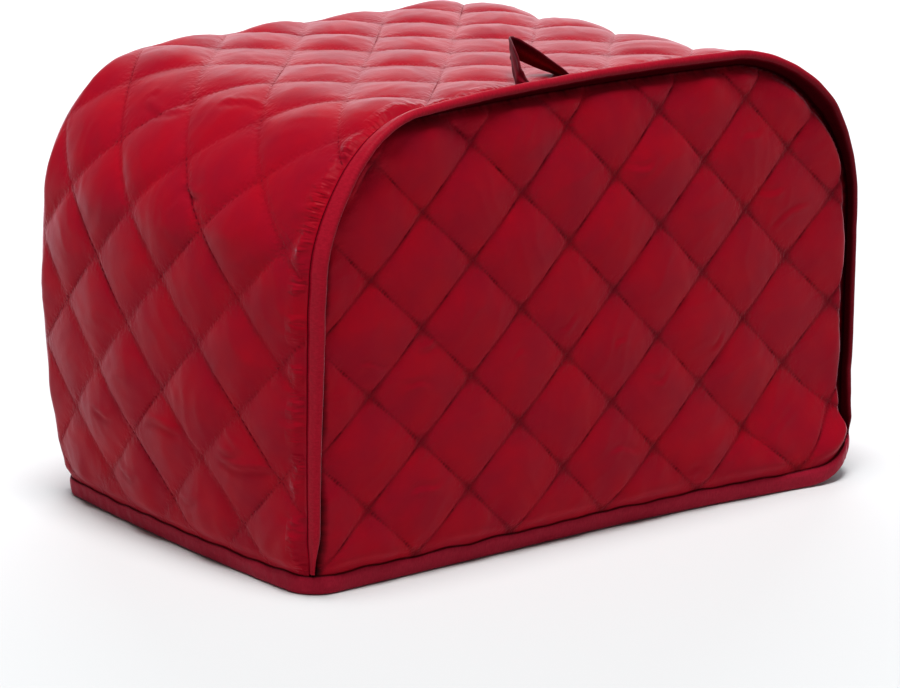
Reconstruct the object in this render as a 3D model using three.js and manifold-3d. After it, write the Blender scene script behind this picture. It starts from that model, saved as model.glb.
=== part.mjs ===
// Quilted toaster cover. Millimetres, +Z up, front panel facing -Y, origin in the middle of the underside.
// The pieces are laid out on a straight-sided arch and then draped, the way the stuffed cloth settles.
import * as THREE from 'three';
import { mergeVertices } from 'three/addons/utils/BufferGeometryUtils.js';
import Module from 'manifold-3d';

// The arch that the front and back seams follow
const SEAM_HALF_WIDTH = 138.4;
const SEAM_HEIGHT = 179.6;
const LEFT_CORNER_RADIUS = 49;
const RIGHT_CORNER_RADIUS = 66;
const FRONT_Y = -85;
const BACK_Y = 91;

// Quilted cloth: its faces at the stitching, the padding between, and the stitch lines' diamonds
const CLOTH_OUT = 0.6;
const CLOTH_IN = 0.65;
const PUFF_OUT = 3.3;
const PUFF_IN = 1.2;
const PUFF_POWER = 0.55;
const PUFF_VARIATION = 0.2;
const EDGE_FADE = 13;
const STEPS_PER_DIAMOND = 4;
const PANEL_DIAMOND = { across: 48, up: 44.8, acrossStart: -136.2, upStart: 98.1 };
const GUSSET_DIAMOND = { across: 46, up: 45.4, acrossStart: 66.8, upStart: 135 };
const BODY_INSET = 2.5;
const CORNER_COLUMN = 6.5;
const LEAST_STEP = 4;

// Bound front seam: a fin leaning outwards from straight ahead, tapering into the hem
const FIN_LEAN = THREE.MathUtils.degToRad(38);
const FIN_TAPER_TOP = 27;
const FIN_TAPER_END = 0.3;
const BINDING_BOTTOM = 8.4;

// Hem tape folded round the bottom edge
const HEM_HEIGHT = 8;
const CLOTH_BOTTOM = 1.4;
const HEM_END_GAP = 0.5;
const HEM_ZONE_TOP = 14;

// Loop of tape on the top of the front seam
const LOOP_X = -21.5;
const LOOP_WIDTH = 9;
const LOOP_THICK = 1;
const LOOP_STEPS = 30;

// How the stuffed cover settles away from the straight arch
const DRAPE = {
  width: 143,
  height: 184.2,
  depth: 182,
  backNarrower: 0.076,
  backLower: 0.007,
  lean: 1.5,
  sideSwell: 11,
  sideBulge: 9.8,
  topCrownFront: 5.4,
  topCrownBack: 3.3,
  backCornerFill: 3,
  topSag: 0.8,
  panelCrown: 7.2,
  backCrown: 7,
  rightHemFlare: 7,
  flareHeight: 42,
};

// Corners of the hem, rounded as seen from above: side and end of the corner, radius, and height it reaches
const HEM_CORNERS = [
  { side: -1, end: -1, radius: 12, reach: 26 },
  { side: 1, end: -1, radius: 14, reach: 30 },
  { side: -1, end: 1, radius: 9, reach: 24 },
  { side: 1, end: 1, radius: 12, reach: 28 },
];

// A point of the fin's section: out along the fin and across it, as [away from the arch, past the seam]
const fin = (out, across) => [
  out * Math.sin(FIN_LEAN) + across * Math.cos(FIN_LEAN),
  out * Math.cos(FIN_LEAN) - across * Math.sin(FIN_LEAN),
];

// Sections of the seam edges as [away from the arch, past the seam]: right side and lining side of the
// cloth, and the same down in the hem, where the pieces only meet edge to edge
const PANEL_FRONT_EDGE = [
  { face: fin(-0.2, -1.15), lining: fin(-0.1, -0.15), hemFace: [-0.9, 0.5], hemLining: [-1.6, -0.55] },
  { face: fin(6.3, -1.15), lining: fin(6.3, -0.15), hemFace: [-0.3, 0.5], hemLining: [-1, -0.55] },
];
const GUSSET_FRONT_EDGE = [
  { face: fin(6.3, 1.15), lining: fin(6.3, 0.15), hemFace: [0.5, -0.3], hemLining: [-0.55, -1] },
  { face: fin(0.2, 1.15), lining: fin(-0.1, 0.15), hemFace: [0.5, -0.9], hemLining: [-0.55, -1.6] },
];
const PANEL_BACK_EDGE = [
  { face: [-2.75, 0.3], lining: [-2.75, -0.95], hemFace: [-2.1, 0.5], hemLining: [-2.1, -0.55] },
  { face: [-0.45, 0.22], lining: [-2.95, -1.15], hemFace: [-1.2, 0.5], hemLining: [-1.8, -0.55] },
  { face: [-0.55, -0.34], lining: [-3.2, -1.57], hemFace: [-0.8, 0.5], hemLining: [-1.4, -0.55] },
  { face: [-4, -3.79], lining: [-4.9, -3.27], hemFace: [-0.3, 0.5], hemLining: [-1, -0.55] },
];
const GUSSET_BACK_EDGE = PANEL_BACK_EDGE.map((row) => ({
  face: [row.face[1], row.face[0]],
  lining: [row.lining[1], row.lining[0]],
  hemFace: [row.hemFace[1], row.hemFace[0]],
  hemLining: [row.hemLining[1], row.hemLining[0]],
}));

// Tape folded over the fin: lining side and right side, each out along the fin and across it
const BINDING_PROFILE = [
  { out: 0.5, across: -1.45, faceOut: 0.5, faceAcross: -2.15 },
  { out: 6.3, across: -1.45, faceOut: 6.5, faceAcross: -2.15 },
  { out: 6.7, across: -0.8, faceOut: 7.35, faceAcross: -1.35 },
  { out: 6.7, across: 0.8, faceOut: 7.35, faceAcross: 1.35 },
  { out: 6.3, across: 1.45, faceOut: 6.5, faceAcross: 2.15 },
  { out: 0.5, across: 1.45, faceOut: 0.5, faceAcross: 2.15 },
];

// Tape folded round the bottom edge: away from the middle of the cloth, and height, of both its sides
const HEM_PROFILE = [
  { away: 1, up: HEM_HEIGHT, faceAway: 1.9, faceUp: HEM_HEIGHT },
  { away: 1, up: 1.2, faceAway: 2.1, faceUp: 0.8 },
  { away: 0.6, up: 0.9, faceAway: 1.3, faceUp: 0 },
  { away: -0.65, up: 0.9, faceAway: -1.3, faceUp: 0 },
  { away: -1, up: 1.2, faceAway: -2.1, faceUp: 0.8 },
  { away: -1, up: HEM_HEIGHT, faceAway: -1.9, faceUp: HEM_HEIGHT },
];

// Middle of the loop's tape from its left end to its right, and its turn: flat, then on edge, then flat
const LOOP_PATH = [
  { x: -12, back: -1.7, up: 5.1, turn: 0 },
  { x: -12.1, back: 0.6, up: 3.4, turn: 5 },
  { x: -12.1, back: 3.4, up: 4, turn: 22 },
  { x: -10.6, back: 7.5, up: 7.2, turn: 50 },
  { x: -7.6, back: 13, up: 10.3, turn: 76 },
  { x: -3.7, back: 18.5, up: 11.5, turn: 92 },
  { x: -1.1, back: 22.3, up: 11.6, turn: 100 },
  { x: 0.6, back: 23.6, up: 11.6, turn: 103 },
  { x: 2.2, back: 22, up: 11.6, turn: 105 },
  { x: 3.9, back: 18, up: 11.4, turn: 108 },
  { x: 6.3, back: 12.5, up: 9.9, turn: 120 },
  { x: 9, back: 7.5, up: 7, turn: 140 },
  { x: 11.1, back: 3.4, up: 4, turn: 162 },
  { x: 11.9, back: 0.6, up: 3.4, turn: 175 },
  { x: 12, back: -1.7, up: 5.1, turn: 180 },
];

const { clamp, lerp, smoothstep } = THREE.MathUtils;

const LEFT_SIDE_END = SEAM_HEIGHT - LEFT_CORNER_RADIUS;
const TOP_START = LEFT_SIDE_END + (Math.PI / 2) * LEFT_CORNER_RADIUS;
const TOP_END = TOP_START + 2 * SEAM_HALF_WIDTH - LEFT_CORNER_RADIUS - RIGHT_CORNER_RADIUS;
const RIGHT_SIDE_START = TOP_END + (Math.PI / 2) * RIGHT_CORNER_RADIUS;
const ARCH_LENGTH = RIGHT_SIDE_START + SEAM_HEIGHT - RIGHT_CORNER_RADIUS;

// The place and outward direction of the arch at a length along it from the left of the hem
function archAt(along) {
  if (along <= LEFT_SIDE_END) {
    return { along, x: -SEAM_HALF_WIDTH, z: along, nx: -1, nz: 0 };
  }
  if (along <= TOP_START) {
    const turn = (along - LEFT_SIDE_END) / LEFT_CORNER_RADIUS;
    const x = -SEAM_HALF_WIDTH + LEFT_CORNER_RADIUS * (1 - Math.cos(turn));
    const z = LEFT_SIDE_END + LEFT_CORNER_RADIUS * Math.sin(turn);
    return { along, x, z, nx: -Math.cos(turn), nz: Math.sin(turn) };
  }
  if (along <= TOP_END) {
    const x = -SEAM_HALF_WIDTH + LEFT_CORNER_RADIUS + along - TOP_START;
    return { along, x, z: SEAM_HEIGHT, nx: 0, nz: 1 };
  }
  if (along <= RIGHT_SIDE_START) {
    const turn = (along - TOP_END) / RIGHT_CORNER_RADIUS;
    const x = SEAM_HALF_WIDTH - RIGHT_CORNER_RADIUS * (1 - Math.sin(turn));
    const z = SEAM_HEIGHT - RIGHT_CORNER_RADIUS * (1 - Math.cos(turn));
    return { along, x, z, nx: Math.sin(turn), nz: Math.cos(turn) };
  }
  return { along, x: SEAM_HALF_WIDTH, z: ARCH_LENGTH - along, nx: 1, nz: 0 };
}

// How far a point of a panel lies inside the arch
function insideArch(x, z) {
  const radius = x < 0 ? LEFT_CORNER_RADIUS : RIGHT_CORNER_RADIUS;
  const past = Math.abs(x) - (SEAM_HALF_WIDTH - radius);
  const above = z - (SEAM_HEIGHT - radius);
  if (past > 0 && above > 0) {
    return radius - Math.hypot(past, above);
  }
  return Math.min(SEAM_HALF_WIDTH - Math.abs(x), SEAM_HEIGHT - z);
}

// Height of the padding, 0 on the stitch lines to about 1 in the middle of a diamond
function puff(diamond, across, up) {
  const a = (across - diamond.acrossStart) / diamond.across + (up - diamond.upStart) / diamond.up;
  const b = (across - diamond.acrossStart) / diamond.across - (up - diamond.upStart) / diamond.up;
  const pillow = Math.abs(Math.sin(Math.PI * a) * Math.sin(Math.PI * b)) ** PUFF_POWER;
  const one = Math.sin(Math.floor(a + 0.001) * 12.9 + Math.floor(b + 0.001) * 78.2) * 43.7;
  return pillow * (1 + PUFF_VARIATION * (2 * (one - Math.floor(one)) - 1));
}

// The padding thins out towards a seam and towards the hem
function fade(toSeam, height) {
  return smoothstep(toSeam, 0, EDGE_FADE) * smoothstep(height, HEM_HEIGHT + 0.6, HEM_HEIGHT + EDGE_FADE);
}

// Lines of the cloth's net: fixed lines first, then the diamonds' own lines wherever there is room
function netLines(from, to, fixed, start, step) {
  const lines = [...fixed];
  for (let k = Math.ceil((from - start) / step); start + k * step < to; k += 1) {
    const line = start + k * step;
    if (fixed.every((other) => Math.abs(other - line) >= LEAST_STEP)) {
      lines.push(line);
    }
  }
  return lines.sort((p, q) => p - q);
}

// Round the corners of the hem as seen from above, fading out above it
function roundCorners(p) {
  for (const corner of HEM_CORNERS) {
    const seamY = corner.end < 0 ? FRONT_Y : BACK_Y;
    const out = corner.side * p.x - (SEAM_HALF_WIDTH - corner.radius);
    const past = corner.end * (p.y - seamY) + corner.radius;
    if (out > 0 && past > 0) {
      const shrink = Math.max(out, past) / Math.hypot(out, past) - 1;
      const share = shrink * (1 - smoothstep(p.z, HEM_HEIGHT + 2, corner.reach));
      p.x += corner.side * out * share;
      p.y += corner.end * past * share;
    }
  }
}

// Drape a point of the straight arch
function drape(p) {
  roundCorners(p);
  const back = clamp((p.y + DRAPE.depth / 2) / DRAPE.depth, 0, 1);
  const side = p.x / DRAPE.width;
  const high = p.z / DRAPE.height;
  const height = clamp(high, 0, 1);
  const middle = clamp(1 - side * side, 0, 1);
  const between = 4 * back * (1 - back);
  const wall = side ** 3 * (1 - 0.5 * height ** 6);
  const swell = DRAPE.sideSwell * Math.sin(Math.PI * height) * back;
  const bulge = DRAPE.sideBulge * between * lerp(0.35, 1, clamp(p.z / 50, 0, 1));
  const fill = DRAPE.backCornerFill * back * (side * high) ** 2;
  const crown = lerp(DRAPE.topCrownFront, DRAPE.topCrownBack, back) * middle * high;
  const sag = DRAPE.topSag * between * height ** 4 * middle;
  const low = 1 - smoothstep(p.z, 0, DRAPE.flareHeight);
  const flare = DRAPE.rightHemFlare * low * (1 - back) ** 2 * clamp(side, 0, 1) ** 2;
  const belly = middle * clamp(1 - (2 * high - 1) ** 4, 0, 1);
  p.x *= 1 - DRAPE.backNarrower * back;
  p.x += DRAPE.lean * (1 - back) * high + wall * (swell + bulge);
  p.x += 0.7 * fill * Math.sign(side) + 0.4 * flare;
  p.z += crown - sag + 0.7 * fill - DRAPE.backLower * back * p.z;
  p.y += belly * (DRAPE.backCrown * back ** 2 - DRAPE.panelCrown * (1 - back) ** 2) - flare;
  return p;
}

// Closed piece of cloth from a net of points on its right side (1) and its lining side (0). Each cell is
// split along its lower diagonal, so that the stitch lines stay straight
function clothPiece(columns, rows, place, heightAt = () => 0) {
  const positions = [];
  for (let side = 0; side < 2; side += 1) {
    for (let j = 0; j < rows; j += 1) {
      for (let i = 0; i < columns; i += 1) {
        positions.push(...place(i, j, side).toArray());
      }
    }
  }
  const index = [];
  const at = (i, j, side) => (side * rows + j) * columns + i;
  const quad = (a, b, c, d) => index.push(a, b, c, a, c, d);
  for (let j = 0; j + 1 < rows; j += 1) {
    for (let i = 0; i + 1 < columns; i += 1) {
      const risingSum = heightAt(i, j) + heightAt(i + 1, j + 1);
      const fallingSum = heightAt(i + 1, j) + heightAt(i, j + 1);
      const rising = risingSum <= fallingSum + 1e-6;
      const face = [at(i, j, 1), at(i + 1, j, 1), at(i + 1, j + 1, 1), at(i, j + 1, 1)];
      const lining = [at(i, j, 0), at(i, j + 1, 0), at(i + 1, j + 1, 0), at(i + 1, j, 0)];
      quad(...(rising ? face : [face[1], face[2], face[3], face[0]]));
      quad(...(rising ? lining : [lining[1], lining[2], lining[3], lining[0]]));
    }
  }
  for (let i = 0; i + 1 < columns; i += 1) {
    quad(at(i, 0, 0), at(i + 1, 0, 0), at(i + 1, 0, 1), at(i, 0, 1));
    quad(at(i, rows - 1, 1), at(i + 1, rows - 1, 1), at(i + 1, rows - 1, 0), at(i, rows - 1, 0));
  }
  for (let j = 0; j + 1 < rows; j += 1) {
    quad(at(0, j, 1), at(0, j + 1, 1), at(0, j + 1, 0), at(0, j, 0));
    const end = columns - 1;
    quad(at(end, j, 0), at(end, j + 1, 0), at(end, j + 1, 1), at(end, j, 1));
  }
  const geometry = new THREE.BufferGeometry();
  geometry.setAttribute('position', new THREE.Float32BufferAttribute(positions, 3));
  geometry.setIndex(index);
  if (signedVolume(geometry) < 0) {
    geometry.setIndex(index.reverse());
  }
  return geometry;
}

function signedVolume(geometry) {
  const points = geometry.attributes.position;
  const corner = [new THREE.Vector3(), new THREE.Vector3(), new THREE.Vector3()];
  let volume = 0;
  for (let k = 0; k < geometry.index.count; k += 3) {
    corner.forEach((v, n) => v.fromBufferAttribute(points, geometry.index.getX(k + n)));
    volume += corner[0].dot(corner[1].clone().cross(corner[2])) / 6;
  }
  return volume;
}

// A point of a seam edge, blending from the hem's edge-to-edge section to the full one above it
function edgePoint(station, row, side, end) {
  const upper = side ? row.face : row.lining;
  const hem = side ? row.hemFace : row.hemLining;
  const share = smoothstep(station.z, HEM_HEIGHT, HEM_ZONE_TOP);
  const taper = end < 0 ? finTaper(station.z) : 1;
  const away = lerp(hem[0], upper[0] * taper, share);
  const past = lerp(hem[1], upper[1] * taper, share);
  const y = (end < 0 ? FRONT_Y : BACK_Y) + end * past;
  return new THREE.Vector3(station.x + away * station.nx, y, station.z + away * station.nz);
}

function finTaper(z) {
  return lerp(FIN_TAPER_END, 1, smoothstep(z, HEM_HEIGHT, FIN_TAPER_TOP));
}

const wasm = await Module();
wasm.setup();

function toSolid(geometry) {
  const plain = new THREE.BufferGeometry();
  plain.setAttribute('position', geometry.attributes.position);
  plain.setIndex(geometry.index);
  const merged = mergeVertices(plain, 1e-4);
  const vertProperties = new Float32Array(merged.attributes.position.array);
  const triVerts = new Uint32Array(merged.index.array);
  return new wasm.Manifold(new wasm.Mesh({ numProp: 3, vertProperties, triVerts }));
}

function toGeometry(solid) {
  const mesh = solid.getMesh();
  const geometry = new THREE.BufferGeometry();
  geometry.setAttribute('position', new THREE.Float32BufferAttribute(mesh.vertProperties, 3));
  geometry.setIndex(new THREE.Uint32BufferAttribute(mesh.triVerts, 1));
  return geometry;
}

// The arch's own rows, shared by every piece that follows it, so that their facets match
const upStep = GUSSET_DIAMOND.up / STEPS_PER_DIAMOND;
const archEnds = [
  CLOTH_BOTTOM,
  HEM_HEIGHT + 0.6,
  ARCH_LENGTH - HEM_HEIGHT - 0.6,
  ARCH_LENGTH - CLOTH_BOTTOM,
];
const archRows = netLines(archEnds[0], archEnds[3], archEnds, GUSSET_DIAMOND.upStart, upStep);
const arch = archRows.map(archAt);

// Columns across the depth of the gusset, and across the width of a panel
const depthEnds = [
  FRONT_Y + BODY_INSET,
  FRONT_Y + CORNER_COLUMN,
  BACK_Y - CORNER_COLUMN,
];
const depthStep = GUSSET_DIAMOND.across / STEPS_PER_DIAMOND;
const depthColumns = netLines(FRONT_Y, depthEnds[2], depthEnds, GUSSET_DIAMOND.acrossStart, depthStep);
const widthEnds = [
  -SEAM_HALF_WIDTH,
  -SEAM_HALF_WIDTH + CORNER_COLUMN,
  SEAM_HALF_WIDTH - CORNER_COLUMN,
  SEAM_HALF_WIDTH,
];
const widthStep = PANEL_DIAMOND.across / STEPS_PER_DIAMOND;
const widthColumns = netLines(widthEnds[0], widthEnds[3], widthEnds, PANEL_DIAMOND.acrossStart, widthStep);

// Gusset: one quilted strip up the left side, over the top and down the right
function makeGusset() {
  const front = GUSSET_FRONT_EDGE.length;
  const last = front + depthColumns.length;
  const columns = last + GUSSET_BACK_EDGE.length;
  const heightAt = (i, j) => {
    if (i < front || i >= last) {
      return 0;
    }
    const y = depthColumns[i - front];
    const toSeam = Math.min(y - FRONT_Y, BACK_Y - y);
    return puff(GUSSET_DIAMOND, y, arch[j].along) * fade(toSeam, arch[j].z);
  };
  const place = (i, j, side) => {
    if (i < front) {
      return edgePoint(arch[j], GUSSET_FRONT_EDGE[i], side, -1);
    }
    if (i >= last) {
      return edgePoint(arch[j], GUSSET_BACK_EDGE[i - last], side, 1);
    }
    const high = heightAt(i, j);
    const away = side ? CLOTH_OUT + PUFF_OUT * high : -CLOTH_IN - PUFF_IN * high;
    const { x, z, nx, nz } = arch[j];
    return new THREE.Vector3(x + away * nx, depthColumns[i - front], z + away * nz);
  };
  return clothPiece(columns, arch.length, place, heightAt);
}

// Panel: a quilted sheet cut to the arch, joined to the edge that is turned into the seam
function makePanel(seamY, end, edgeRows) {
  const rowStep = PANEL_DIAMOND.up / STEPS_PER_DIAMOND;
  const rowEnds = [CLOTH_BOTTOM, HEM_HEIGHT + 0.6];
  const rows = netLines(CLOTH_BOTTOM, SEAM_HEIGHT + rowStep, rowEnds, PANEL_DIAMOND.upStart, rowStep);
  const columns = [...widthColumns];
  columns[0] -= 2;
  columns[columns.length - 1] += 2;
  const heightAt = (i, j) => {
    const toSeam = insideArch(columns[i], rows[j]);
    return puff(PANEL_DIAMOND, columns[i], rows[j]) * fade(toSeam, rows[j]);
  };
  const place = (i, j, side) => {
    const high = heightAt(i, j);
    const past = side ? CLOTH_OUT + PUFF_OUT * high : -CLOTH_IN - PUFF_IN * high;
    return new THREE.Vector3(columns[i], seamY + end * past, rows[j]);
  };
  const sheet = toSolid(clothPiece(columns.length, rows.length, place, heightAt));

  const inset = (station) => new THREE.Vector2(
    station.x - BODY_INSET * station.nx,
    station.z - BODY_INSET * station.nz,
  );
  const below = [
    new THREE.Vector2(arch[arch.length - 1].x - BODY_INSET, -5),
    new THREE.Vector2(arch[0].x + BODY_INSET, -5),
  ];
  const cutter = new THREE.ExtrudeGeometry(new THREE.Shape([...arch.map(inset), ...below]), {
    depth: 30,
    bevelEnabled: false,
  });
  cutter.rotateX(Math.PI / 2);
  cutter.translate(0, seamY + 15, 0);

  const overlap = { face: [-4, 0.5], lining: [-4, -0.5], hemFace: [-4, 0.5], hemLining: [-4, -0.5] };
  const bandRows = [overlap, ...edgeRows];
  const lifted = arch.map((station) => ({ ...station, z: Math.max(station.z, CLOTH_BOTTOM + 0.1) }));
  const placeBand = (i, j, side) => edgePoint(lifted[j], bandRows[i], side, end);
  const band = clothPiece(bandRows.length, arch.length, placeBand);
  return toGeometry(toSolid(cutter).intersect(sheet).add(toSolid(band)));
}

// Binding: tape folded over the raw edges of the front seam
function makeBinding() {
  const stations = netLines(
    BINDING_BOTTOM,
    ARCH_LENGTH - BINDING_BOTTOM,
    [BINDING_BOTTOM, ARCH_LENGTH - BINDING_BOTTOM],
    GUSSET_DIAMOND.upStart,
    upStep,
  ).map(archAt);
  return clothPiece(BINDING_PROFILE.length, stations.length, (i, j, side) => {
    const row = BINDING_PROFILE[i];
    const { x, z, nx, nz } = stations[j];
    const out = (side ? row.faceOut : row.out) * finTaper(z);
    const [away, past] = fin(out, side ? row.faceAcross : row.across);
    return new THREE.Vector3(x + away * nx, FRONT_Y - past, z + away * nz);
  });
}

// Hem: tape folded round the bottom edge all the way round, its ends meeting in the middle of the back
function makeHem() {
  const edge = SEAM_HALF_WIDTH - BODY_INSET;
  const widths = [-edge, ...widthColumns.slice(1, -1), edge];
  const depths = [...depthColumns, BACK_Y - BODY_INSET];
  const corner = (nx, ny) => ({ x: nx * SEAM_HALF_WIDTH, y: ny < 0 ? FRONT_Y : BACK_Y, nx, ny });
  const acrossBack = (x) => ({ x, y: BACK_Y, nx: 0, ny: 1 });
  const ring = [
    acrossBack(HEM_END_GAP / 2),
    ...widths.filter((x) => x > LEAST_STEP).map(acrossBack),
    corner(1, 1),
    ...depths.map((y) => ({ x: SEAM_HALF_WIDTH, y, nx: 1, ny: 0 })).reverse(),
    corner(1, -1),
    ...widths.map((x) => ({ x, y: FRONT_Y, nx: 0, ny: -1 })).reverse(),
    corner(-1, -1),
    ...depths.map((y) => ({ x: -SEAM_HALF_WIDTH, y, nx: -1, ny: 0 })),
    corner(-1, 1),
    ...widths.filter((x) => x < -LEAST_STEP).map(acrossBack),
    acrossBack(-HEM_END_GAP / 2),
  ];
  return clothPiece(HEM_PROFILE.length, ring.length, (i, j, side) => {
    const row = HEM_PROFILE[i];
    const away = side ? row.faceAway : row.away;
    const { x, y, nx, ny } = ring[j];
    return new THREE.Vector3(x + away * nx, y + away * ny, side ? row.faceUp : row.up);
  });
}

// Loop: one length of tape with both ends sewn behind the binding, twisting to stand on edge at its fold
function makeLoop() {
  const start = new THREE.Vector3(LOOP_X, FRONT_Y, SEAM_HEIGHT);
  const points = LOOP_PATH.map((row) => new THREE.Vector3(row.x, row.back, row.up).add(start));
  const curve = new THREE.CatmullRomCurve3(points, false, 'centripetal');
  const turnAt = (t) => {
    const place = t * (LOOP_PATH.length - 1);
    const k = Math.min(Math.floor(place), LOOP_PATH.length - 2);
    return THREE.MathUtils.degToRad(lerp(LOOP_PATH[k].turn, LOOP_PATH[k + 1].turn, place - k));
  };
  return clothPiece(2, LOOP_STEPS + 1, (i, j, side) => {
    const t = j / LOOP_STEPS;
    const tangent = curve.getTangent(t);
    const wide = new THREE.Vector3(Math.cos(turnAt(t)), 0, Math.sin(turnAt(t)));
    wide.addScaledVector(tangent, -wide.dot(tangent)).normalize();
    const normal = wide.clone().cross(tangent);
    return curve.getPoint(t)
      .addScaledVector(wide, (i - 0.5) * LOOP_WIDTH)
      .addScaledVector(normal, (side - 0.5) * LOOP_THICK);
  });
}

const pieces = [
  { name: 'front_panel', geometry: makePanel(FRONT_Y, -1, PANEL_FRONT_EDGE), color: 0x8e1524, roughness: 0.5 },
  { name: 'back_panel', geometry: makePanel(BACK_Y, 1, PANEL_BACK_EDGE), color: 0x8e1524, roughness: 0.5 },
  { name: 'gusset', geometry: makeGusset(), color: 0x97202f, roughness: 0.5 },
  { name: 'front_binding', geometry: makeBinding(), color: 0x8a1826, roughness: 0.55 },
  { name: 'hem_binding', geometry: makeHem(), color: 0x861624, roughness: 0.55 },
  { name: 'loop_tab', geometry: makeLoop(), color: 0x6e101c, roughness: 0.55 },
];

const group = new THREE.Group();
for (const piece of pieces) {
  const points = piece.geometry.attributes.position;
  const p = new THREE.Vector3();
  for (let k = 0; k < points.count; k += 1) {
    drape(p.fromBufferAttribute(points, k));
    points.setXYZ(k, p.x, p.y, p.z);
  }
  piece.geometry.computeVertexNormals();
  const { color, roughness } = piece;
  const material = new THREE.MeshStandardMaterial({ color, roughness, metalness: 0 });
  const mesh = new THREE.Mesh(piece.geometry, material);
  mesh.name = piece.name;
  group.add(mesh);
}

// Bring the middle of the underside to the origin
const box = new THREE.Box3().setFromObject(group);
const middle = box.getCenter(new THREE.Vector3());
group.position.set(-middle.x, -middle.y, -box.min.z);

export default group;
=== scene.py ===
import math

import bmesh
import bpy
import numpy as np
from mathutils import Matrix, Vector


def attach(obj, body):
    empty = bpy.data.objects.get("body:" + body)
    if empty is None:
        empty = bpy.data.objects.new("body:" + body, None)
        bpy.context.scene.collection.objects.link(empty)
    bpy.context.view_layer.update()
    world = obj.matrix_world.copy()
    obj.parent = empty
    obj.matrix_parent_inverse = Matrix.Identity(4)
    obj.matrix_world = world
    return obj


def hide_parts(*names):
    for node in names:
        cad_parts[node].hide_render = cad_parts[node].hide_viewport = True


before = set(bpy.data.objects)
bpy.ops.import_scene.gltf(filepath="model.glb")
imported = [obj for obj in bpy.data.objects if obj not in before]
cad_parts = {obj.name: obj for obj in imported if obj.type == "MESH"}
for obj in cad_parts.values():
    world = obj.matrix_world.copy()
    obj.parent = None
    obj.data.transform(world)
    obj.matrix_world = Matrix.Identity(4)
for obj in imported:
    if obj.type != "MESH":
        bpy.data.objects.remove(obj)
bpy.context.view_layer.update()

# Front panel: an arch cut from polyester satin, quilted with thin wadding to an inner cloth, its edge turned
# forwards into the bound seam. Both cloths are one closed sheet here, worked flat in millimetres (across, up)
# and then raised, turned into the seam and draped.

# The arch that the bound seam follows, in mm
SEAM_HALF_WIDTH = 138.4
SEAM_HEIGHT = 179.6
LEFT_RADIUS = 49.0
RIGHT_RADIUS = 66.0
# Lengths along the arch, from the left of the hem, where its sides and top start and end
LEFT_SIDE_END = SEAM_HEIGHT - LEFT_RADIUS
TOP_START = LEFT_SIDE_END + math.pi / 2 * LEFT_RADIUS
TOP_END = TOP_START + 2 * SEAM_HALF_WIDTH - LEFT_RADIUS - RIGHT_RADIUS
RIGHT_SIDE_START = TOP_END + math.pi / 2 * RIGHT_RADIUS
ARCH_LENGTH = RIGHT_SIDE_START + SEAM_HEIGHT - RIGHT_RADIUS


def blend(value, low, high):
    """0 below low to 1 above high, easing at both ends."""
    t = np.clip((value - low) / (high - low), 0, 1)
    return t * t * (3 - 2 * t)


def mix(a, b, share):
    """a where share is 0, b where it is 1, and between them in between."""
    return a + (b - a) * share


def arch_at(along):
    """Place and outward direction of the seam's arch at lengths along it from the left of the hem."""
    left = np.clip((along - LEFT_SIDE_END) / LEFT_RADIUS, 0, math.pi / 2)
    right = np.clip((along - TOP_END) / RIGHT_RADIUS, 0, math.pi / 2)
    top = np.clip(along, TOP_START, TOP_END) - TOP_START
    x = -SEAM_HALF_WIDTH + LEFT_RADIUS * (1 - np.cos(left)) + top + RIGHT_RADIUS * np.sin(right)
    z = np.minimum(along, LEFT_SIDE_END) + LEFT_RADIUS * np.sin(left)
    z = z - RIGHT_RADIUS * (1 - np.cos(right)) - np.maximum(along - RIGHT_SIDE_START, 0)
    turn = left + right
    return x, z, -np.cos(turn), np.sin(turn)


def nearest_on_arch(x, z):
    """How far points lie inside the arch, and how far along it their nearest points are."""
    radius = np.where(x < 0, LEFT_RADIUS, RIGHT_RADIUS)
    past = np.abs(x) - (SEAM_HALF_WIDTH - radius)
    above = z - (SEAM_HEIGHT - radius)
    corner = (past > 0) & (above > 0)
    to_side = SEAM_HALF_WIDTH - np.abs(x)
    to_top = SEAM_HEIGHT - z
    inside = np.where(corner, radius - np.hypot(past, above), np.minimum(to_side, to_top))
    turn = np.arctan2(np.maximum(above, 0), np.maximum(past, 1e-9))
    at_left = np.where(corner, LEFT_SIDE_END + turn * radius, z)
    at_right = np.where(corner, RIGHT_SIDE_START - turn * radius, ARCH_LENGTH - z)
    at_top = TOP_START + x + SEAM_HALF_WIDTH - LEFT_RADIUS
    on_top = ~corner & (to_top < to_side)
    return inside, np.where(on_top, at_top, np.where(x < 0, at_left, at_right))


def random_at(i, j, seed):
    """A random number from 0 to 1 that is always the same for the same whole numbers and seed."""
    value = np.sin(i * 127.1 + j * 311.7 + seed * 74.7) * 43758.5453
    return value - np.floor(value)


def ripples(x, y, seed):
    """Smooth random heights from about -1 to 1, with one bump or hollow a unit."""
    i, j = np.floor(x), np.floor(y)
    u, v = x - i, y - j
    corners = []
    for di in (0, 1):
        for dj in (0, 1):
            angle = 2 * math.pi * random_at(i + di, j + dj, seed)
            corners.append(np.cos(angle) * (u - di) + np.sin(angle) * (v - dj))
    u, v = blend(u, 0, 1), blend(v, 0, 1)
    return 1.5 * mix(mix(corners[0], corners[1], v), mix(corners[2], corners[3], v), u)


# The diamonds' size corner to corner, and the place of one corner
PANEL_DIAMOND = dict(across=48.0, up=44.8, across_start=-136.2, up_start=98.1)
# Puckers beside the stitching: their length, their depth, and how far from it they die away
PUCKER_LENGTH = 4.2
PUCKER_DEPTH = 0.3
PUCKER_REACH = 5
# Creases of whole pillows: the length and width of a sharp fold, its depth, and the depth of the soft dents
FOLD_LENGTH = 26
FOLD_WIDTH = 9
FOLD_DEPTH = 0.25
DENT_DEPTH = 0.3


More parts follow.
